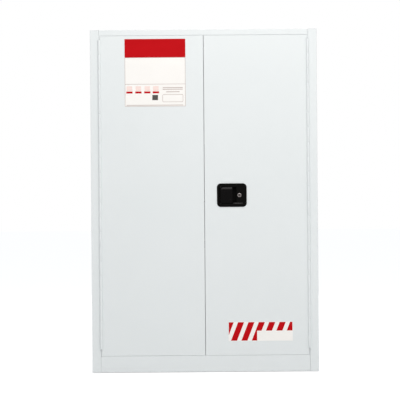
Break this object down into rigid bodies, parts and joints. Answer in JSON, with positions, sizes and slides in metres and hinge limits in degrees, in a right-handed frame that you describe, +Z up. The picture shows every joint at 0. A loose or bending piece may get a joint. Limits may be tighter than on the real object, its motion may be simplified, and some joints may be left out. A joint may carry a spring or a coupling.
{
  "type": "toxic substance cabinet",
  "caption": "Double-walled steel safety cabinet with two hinged doors, recessed paddle handle with key lock, rod latch, tray shelves, leak sump, capped side vents and levelling feet.",
  "frame": {"origin": "on the floor under the middle of the outer box", "axes": "+Z up, doors face -Y, +X to the viewer's right when facing the doors"},
  "size_m": [1.1102, 0.4722, 1.65],
  "materials": {
    "powder_coat": "pale grey powder coat, fine orange peel",
    "liner_coat": "pale grey powder coat, satin",
    "zinc_plate": "zinc plated and galvanised steel",
    "painted_hinge": "hinge steel under the cabinet's powder coat",
    "stainless": "turned stainless steel",
    "chrome": "polished chrome on the lock",
    "black_plastic": "moulded, fine grain",
    "arrester_mesh": "dark steel mesh"
  },
  "bodies": {
    "cabinet": {"outer_side_left": "powder_coat", "outer_side_right": "powder_coat", "outer_top": "powder_coat", "sill": "powder_coat", "outer_back": "powder_coat", "base_panel": "powder_coat", "inner_side_left": "liner_coat", "inner_side_right": "liner_coat", "inner_back": "liner_coat", "inner_top": "liner_coat", "sump_pan": "liner_coat", "vent_tube_low": "zinc_plate", "vent_tube_high": "zinc_plate", "standard_left_front": "zinc_plate", "standard_left_rear": "zinc_plate", "standard_right_front": "zinc_plate", "standard_right_rear": "zinc_plate", "lower_clip_left_front": "zinc_plate", "lower_clip_left_rear": "zinc_plate", "lower_clip_right_front": "zinc_plate", "lower_clip_right_rear": "zinc_plate", "upper_clip_left_front": "zinc_plate", "upper_clip_left_rear": "zinc_plate", "upper_clip_right_front": "zinc_plate", "upper_clip_right_rear": "zinc_plate", "upper_keeper": "zinc_plate", "lower_keeper": "zinc_plate", "left_frame_leaf": "painted_hinge", "right_frame_leaf": "painted_hinge", "left_hinge_pin": "stainless", "right_hinge_pin": "stainless", "ground_stud": "stainless", "flame_arrester_low": "arrester_mesh", "flame_arrester_high": "arrester_mesh"},
    "left_door": {"left_door_skin": "powder_coat", "left_door_liner": "liner_coat", "left_door_leaf": "painted_hinge"},
    "right_door": {"right_door_skin": "powder_coat", "right_door_liner": "liner_coat", "right_door_leaf": "painted_hinge", "handle_housing": "black_plastic", "lock_barrel": "chrome", "paddle_pin": "stainless", "cam_spindle": "stainless"},
    "paddle": {"paddle": "black_plastic"},
    "lock_plug": {"lock_plug": "chrome"},
    "latch_cam": {"cam_plate": "zinc_plate"},
    "upper_rod": {"upper_rod": "stainless"},
    "lower_rod": {"lower_rod": "stainless"},
    "centre_bolt": {"centre_bolt": "stainless"},
    "lower_shelf": {"lower_shelf": "zinc_plate"},
    "upper_shelf": {"upper_shelf": "zinc_plate"},
    "vent_cap_low": {"vent_cap_low": "zinc_plate"},
    "vent_cap_high": {"vent_cap_high": "zinc_plate"},
    "foot_1": {"foot_1": "zinc_plate"},
    "foot_2": {"foot_2": "zinc_plate"},
    "foot_3": {"foot_3": "zinc_plate"},
    "foot_4": {"foot_4": "zinc_plate"}
  },
  "joints": [
    {"name": "left_door_hinge", "type": "hinge", "parent": "cabinet", "child": "left_door", "pos_m": [-0.5005, -0.23015, 0.852], "axis": [0, 0, -1], "range_deg": [0, 180]},
    {"name": "right_door_hinge", "type": "hinge", "parent": "cabinet", "child": "right_door", "pos_m": [0.5005, -0.23015, 0.852], "axis": [0, 0, 1], "range_deg": [0, 180]},
    {"name": "paddle_pull", "type": "hinge", "parent": "right_door", "child": "paddle", "pos_m": [0.079, -0.21985, 0.852], "axis": [0, 0, -1], "range_deg": [0, 25], "stiffness_Nm_per_rad": 0.8, "springref_deg": -17.19},
    {"name": "lock_turn", "type": "hinge", "parent": "right_door", "child": "lock_plug", "pos_m": [0.168, -0.22715, 0.852], "axis": [0, 1, 0], "range_deg": [0, 90]},
    {"name": "cam_turn", "type": "hinge", "parent": "right_door", "child": "latch_cam", "pos_m": [0.103, -0.19765, 0.852], "axis": [0, -1, 0], "range_deg": [0, 25.2]},
    {"name": "upper_rod_slide", "type": "slide", "parent": "right_door", "child": "upper_rod", "axis": [0, 0, -1], "range_m": [0, 0.0128]},
    {"name": "lower_rod_slide", "type": "slide", "parent": "right_door", "child": "lower_rod", "axis": [0, 0, 1], "range_m": [0, 0.0128]},
    {"name": "centre_bolt_slide", "type": "slide", "parent": "right_door", "child": "centre_bolt", "axis": [1, 0, 0], "range_m": [0, 0.0128]},
    {"name": "lower_shelf_lift", "type": "slide", "parent": "cabinet", "child": "lower_shelf", "axis": [0, 0, 1], "range_m": [0, 0.06]},
    {"name": "upper_shelf_lift", "type": "slide", "parent": "cabinet", "child": "upper_shelf", "axis": [0, 0, 1], "range_m": [0, 0.06]},
    {"name": "vent_cap_low_turn", "type": "hinge", "parent": "cabinet", "child": "vent_cap_low", "pos_m": [-0.545, 0.00915, 0.185], "axis": [-1, 0, 0], "continuous": true},
    {"name": "vent_cap_high_turn", "type": "hinge", "parent": "cabinet", "child": "vent_cap_high", "pos_m": [0.545, 0.00915, 1.5], "axis": [1, 0, 0], "continuous": true},
    {"name": "foot_1_level", "type": "slide", "parent": "cabinet", "child": "foot_1", "axis": [0, 0, -1], "range_m": [0, 0.015]},
    {"name": "foot_2_level", "type": "slide", "parent": "cabinet", "child": "foot_2", "axis": [0, 0, -1], "range_m": [0, 0.015]},
    {"name": "foot_3_level", "type": "slide", "parent": "cabinet", "child": "foot_3", "axis": [0, 0, -1], "range_m": [0, 0.015]},
    {"name": "foot_4_level", "type": "slide", "parent": "cabinet", "child": "foot_4", "axis": [0, 0, -1], "range_m": [0, 0.015]}
  ],
  "couplings": [
    {"joint": "cam_turn", "follows": "paddle_pull", "ratio": 1},
    {"joint": "upper_rod_slide", "follows": "paddle_pull", "m_per_rad": 0.029058},
    {"joint": "lower_rod_slide", "follows": "paddle_pull", "m_per_rad": 0.029058},
    {"joint": "centre_bolt_slide", "follows": "paddle_pull", "m_per_rad": 0.029058}
  ]
}
